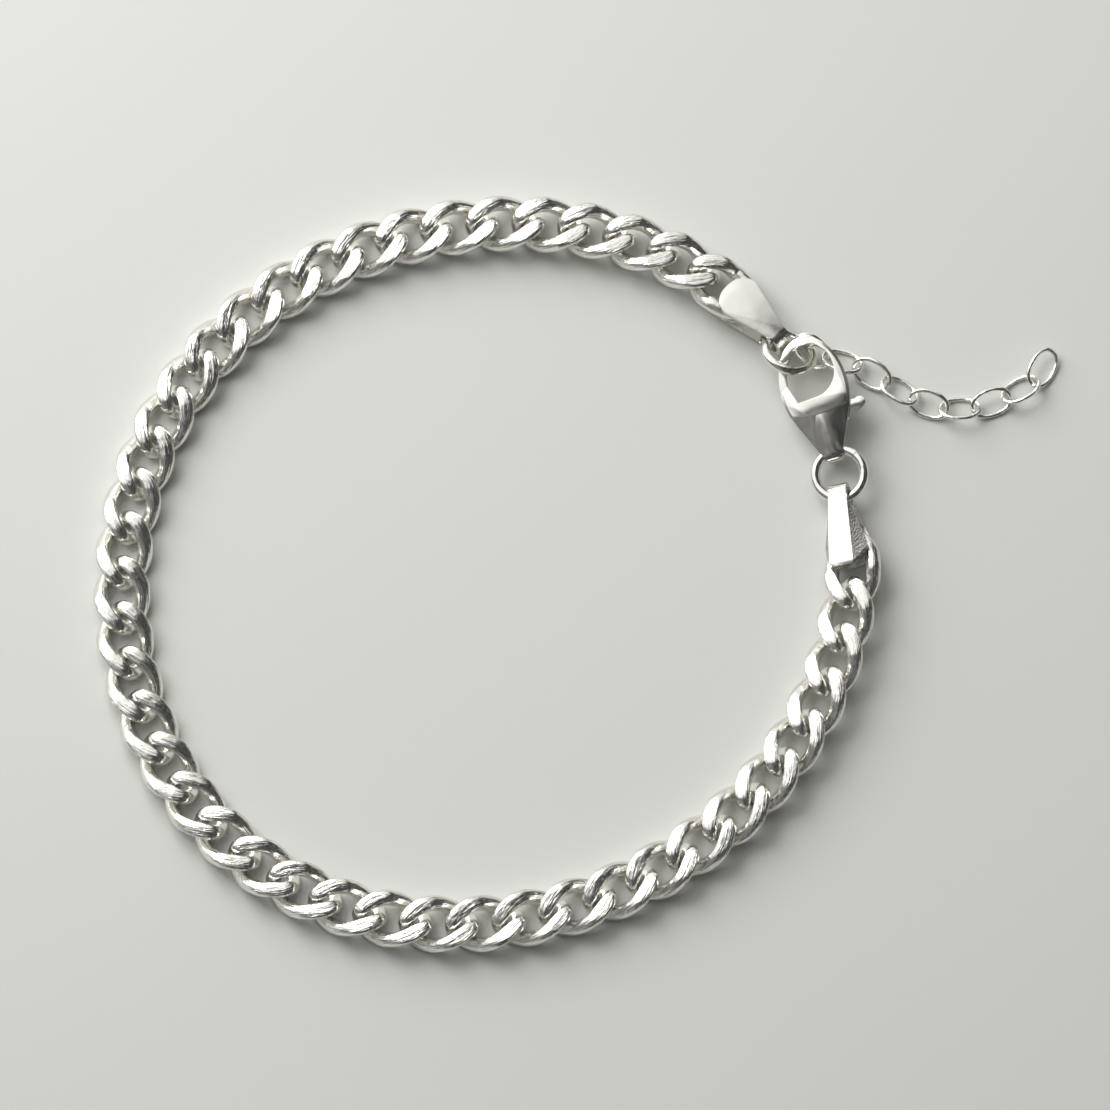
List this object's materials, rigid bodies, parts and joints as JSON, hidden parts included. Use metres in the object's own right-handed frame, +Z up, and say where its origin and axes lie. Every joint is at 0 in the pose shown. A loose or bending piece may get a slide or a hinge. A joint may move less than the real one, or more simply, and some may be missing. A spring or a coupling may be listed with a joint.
{
  "type": "link bracelet",
  "caption": "Slim curb link bracelet lying in a loop, closed by a lobster clasp between two jump rings, with folded end caps and a fine oval link extension chain.",
  "frame": {"origin": "the middle of the loop, on the surface that the bracelet lies on", "axes": "+Z up from the surface, +X from the loop's middle towards the clasp and the extension chain, +Y away from the viewer of the picture"},
  "size_m": [0.0737, 0.0589, 0.0033],
  "materials": {
    "silver": "polished solid silver, bright, with ground flats on the curb links"
  },
  "bodies": {
    "bracelet": {"curb_chain": "silver", "end_cap_tail_side": "silver", "end_cap_hook_side": "silver", "jump_ring_tail": "silver", "jump_ring_hook": "silver", "clasp_body": "silver", "extension_chain": "silver"},
    "lever": {"clasp_lever": "silver"}
  },
  "joints": [
    {"name": "lever_hinge", "type": "hinge", "parent": "bracelet", "child": "lever", "pos_m": [0.02459, 0.01226, 0.00164], "axis": [0.1336, 0.1034, -0.9856], "range_deg": [0, 12], "stiffness_Nm_per_rad": 0.002, "springref_deg": -2.86}
  ]
}
